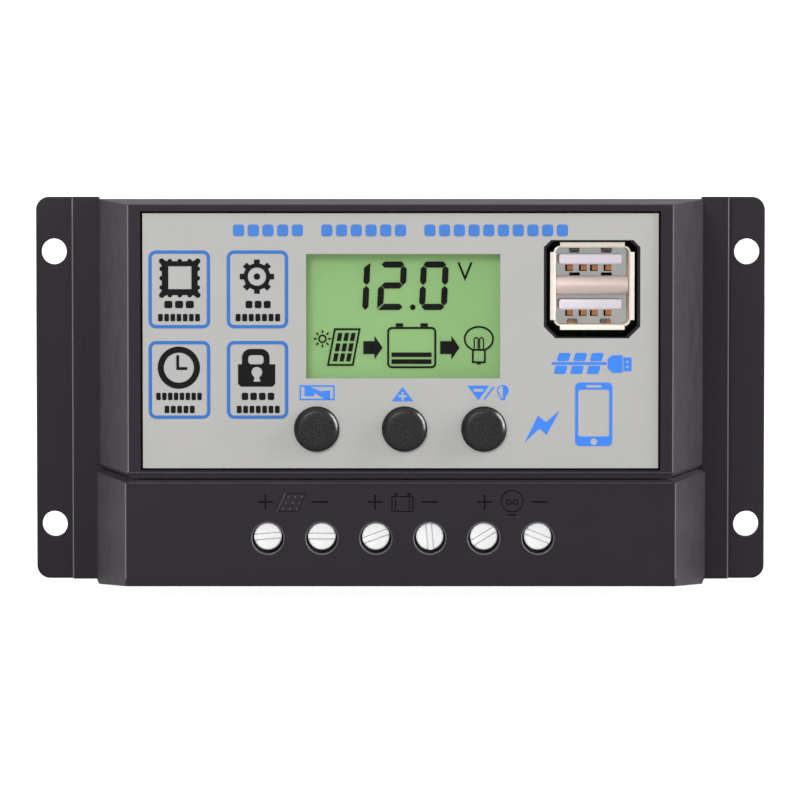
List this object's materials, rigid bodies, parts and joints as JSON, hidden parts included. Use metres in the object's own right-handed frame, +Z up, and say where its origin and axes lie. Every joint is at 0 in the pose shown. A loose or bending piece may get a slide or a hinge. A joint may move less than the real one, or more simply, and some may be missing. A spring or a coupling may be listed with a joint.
{
  "type": "solar charge controller",
  "caption": "Wall-mounted solar charge controller: black case on a flanged base plate, grey label, green display, push buttons, USB outlets and screw terminals.",
  "frame": {"origin": "centre of the base plate's flat back face", "axes": "+Z up as mounted, +Y into the wall, -Y out of the front, +X to the right as seen from the front"},
  "size_m": [0.1334, 0.035, 0.0709],
  "materials": {
    "anodised_plate": "satin",
    "case_plastic": "satin",
    "printed_label": "satin",
    "rating_label": "satin",
    "circuit_board": "satin",
    "display_glass": "gloss",
    "backlight": "satin",
    "black_plastic": "satin",
    "button_plastic": "matte",
    "usb_metal": "satin",
    "usb_insulator": "satin",
    "usb_divider": "satin",
    "terminal_plastic": "satin",
    "nickel_screw": "polished",
    "clamp_steel": "satin",
    "tinned_brass": "satin",
    "capacitor_sleeve": "satin",
    "ferrite": "matte",
    "epoxy": "satin",
    "spacer_plastic": "satin",
    "zinc_screw": "satin"
  },
  "bodies": {
    "root": {"base_plate": "anodised_plate", "upper_cover": "case_plastic", "terminal_cover": "case_plastic", "front_label": "printed_label", "rating_label": "rating_label", "main_pcb": "circuit_board", "lcd_glass": "display_glass", "lcd_backlight": "backlight", "lcd_support_left": "black_plastic", "lcd_support_right": "black_plastic", "lcd_pin_header": "black_plastic", "mode_switch": "black_plastic", "up_switch": "black_plastic", "down_switch": "black_plastic", "usb_shell": "usb_metal", "usb_insulator": "usb_insulator", "usb_divider": "usb_divider", "solar_terminal_block": "terminal_plastic", "battery_terminal_block": "terminal_plastic", "load_terminal_block": "terminal_plastic", "solar_plus_bar": "tinned_brass", "solar_minus_bar": "tinned_brass", "battery_plus_bar": "tinned_brass", "battery_minus_bar": "tinned_brass", "load_plus_bar": "tinned_brass", "load_minus_bar": "tinned_brass", "input_capacitor": "capacitor_sleeve", "usb_capacitor": "capacitor_sleeve", "usb_inductor": "ferrite", "controller_chip": "epoxy", "solar_mosfet": "epoxy", "battery_mosfet": "epoxy", "load_mosfet": "epoxy", "pcb_spacer_1": "spacer_plastic", "pcb_spacer_2": "spacer_plastic", "pcb_spacer_3": "spacer_plastic", "pcb_spacer_4": "spacer_plastic", "cover_screw_1": "zinc_screw", "cover_screw_2": "zinc_screw", "cover_screw_3": "zinc_screw", "cover_screw_4": "zinc_screw"},
    "mode_key": {"mode_button": "button_plastic", "mode_plunger": "black_plastic"},
    "up_key": {"up_button": "button_plastic", "up_plunger": "black_plastic"},
    "down_key": {"down_button": "button_plastic", "down_plunger": "black_plastic"},
    "solar_plus_screw": {"solar_plus_screw": "nickel_screw"},
    "solar_plus_clamp": {"solar_plus_clamp": "clamp_steel"},
    "solar_minus_screw": {"solar_minus_screw": "nickel_screw"},
    "solar_minus_clamp": {"solar_minus_clamp": "clamp_steel"},
    "battery_plus_screw": {"battery_plus_screw": "nickel_screw"},
    "battery_plus_clamp": {"battery_plus_clamp": "clamp_steel"},
    "battery_minus_screw": {"battery_minus_screw": "nickel_screw"},
    "battery_minus_clamp": {"battery_minus_clamp": "clamp_steel"},
    "load_plus_screw": {"load_plus_screw": "nickel_screw"},
    "load_plus_clamp": {"load_plus_clamp": "clamp_steel"},
    "load_minus_screw": {"load_minus_screw": "nickel_screw"},
    "load_minus_clamp": {"load_minus_clamp": "clamp_steel"}
  },
  "joints": [
    {"name": "mode_press", "type": "slide", "parent": "root", "child": "mode_key", "axis": [0, 1, 0], "range_m": [0, 0.0005], "stiffness_N_per_m": 3000},
    {"name": "up_press", "type": "slide", "parent": "root", "child": "up_key", "axis": [0, 1, 0], "range_m": [0, 0.0005], "stiffness_N_per_m": 3000},
    {"name": "down_press", "type": "slide", "parent": "root", "child": "down_key", "axis": [0, 1, 0], "range_m": [0, 0.0005], "stiffness_N_per_m": 3000},
    {"name": "solar_plus_turn", "type": "hinge", "parent": "root", "child": "solar_plus_screw", "pos_m": [-0.02335, -0.0334, -0.0249], "axis": [0, 1, 0], "range_deg": [0, 2160]},
    {"name": "solar_plus_rise", "type": "slide", "parent": "root", "child": "solar_plus_clamp", "axis": [0, -1, 0], "range_m": [0, 0.0042]},
    {"name": "solar_minus_turn", "type": "hinge", "parent": "root", "child": "solar_minus_screw", "pos_m": [-0.01385, -0.0334, -0.0249], "axis": [0, 1, 0], "range_deg": [0, 2160]},
    {"name": "solar_minus_rise", "type": "slide", "parent": "root", "child": "solar_minus_clamp", "axis": [0, -1, 0], "range_m": [0, 0.0042]},
    {"name": "battery_plus_turn", "type": "hinge", "parent": "root", "child": "battery_plus_screw", "pos_m": [-0.00435, -0.0334, -0.0249], "axis": [0, 1, 0], "range_deg": [0, 2160]},
    {"name": "battery_plus_rise", "type": "slide", "parent": "root", "child": "battery_plus_clamp", "axis": [0, -1, 0], "range_m": [0, 0.0042]},
    {"name": "battery_minus_turn", "type": "hinge", "parent": "root", "child": "battery_minus_screw", "pos_m": [0.00515, -0.0334, -0.0249], "axis": [0, 1, 0], "range_deg": [0, 2160]},
    {"name": "battery_minus_rise", "type": "slide", "parent": "root", "child": "battery_minus_clamp", "axis": [0, -1, 0], "range_m": [0, 0.0042]},
    {"name": "load_plus_turn", "type": "hinge", "parent": "root", "child": "load_plus_screw", "pos_m": [0.01465, -0.0334, -0.0249], "axis": [0, 1, 0], "range_deg": [0, 2160]},
    {"name": "load_plus_rise", "type": "slide", "parent": "root", "child": "load_plus_clamp", "axis": [0, -1, 0], "range_m": [0, 0.0042]},
    {"name": "load_minus_turn", "type": "hinge", "parent": "root", "child": "load_minus_screw", "pos_m": [0.02415, -0.0334, -0.0249], "axis": [0, 1, 0], "range_deg": [0, 2160]},
    {"name": "load_minus_rise", "type": "slide", "parent": "root", "child": "load_minus_clamp", "axis": [0, -1, 0], "range_m": [0, 0.0042]}
  ],
  "couplings": [
    {"joint": "solar_plus_turn", "follows": "solar_plus_rise", "rad_per_m": 8976},
    {"joint": "solar_minus_turn", "follows": "solar_minus_rise", "rad_per_m": 8976},
    {"joint": "battery_plus_turn", "follows": "battery_plus_rise", "rad_per_m": 8976},
    {"joint": "battery_minus_turn", "follows": "battery_minus_rise", "rad_per_m": 8976},
    {"joint": "load_plus_turn", "follows": "load_plus_rise", "rad_per_m": 8976},
    {"joint": "load_minus_turn", "follows": "load_minus_rise", "rad_per_m": 8976}
  ]
}
